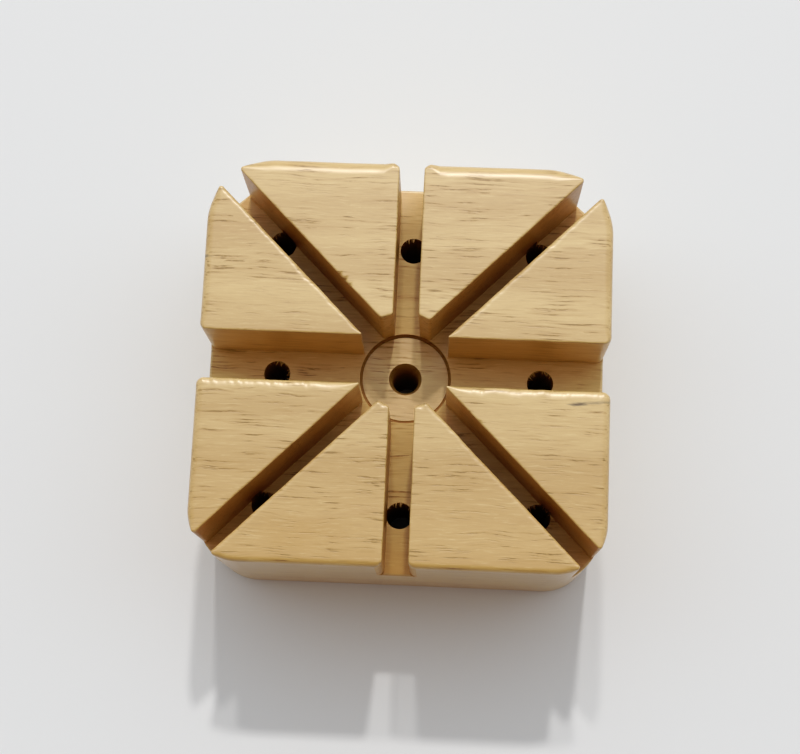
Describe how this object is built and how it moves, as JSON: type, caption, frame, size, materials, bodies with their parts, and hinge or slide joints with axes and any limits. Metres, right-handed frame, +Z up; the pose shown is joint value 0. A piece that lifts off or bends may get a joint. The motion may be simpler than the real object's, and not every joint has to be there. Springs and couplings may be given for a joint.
{
  "type": "wooden bracelet holding block",
  "caption": "Square hardwood block with crossing grooves, a round middle recess and through holes, which holds a watch bracelet on edge while its pins are pushed out.",
  "frame": {"origin": "centre of the block's base, on the axis of the middle hole", "axes": "+Z up out of the grooved top, +X along the wide groove and the grain, -Y towards the front face"},
  "size_m": [0.06, 0.06, 0.032],
  "materials": {
    "rubberwood": "thin satin varnish over pale straw hardwood with short brown vessel strokes, duller on the sawn groove walls"
  },
  "bodies": {
    "root": {"block": "rubberwood"}
  },
  "joints": []
}
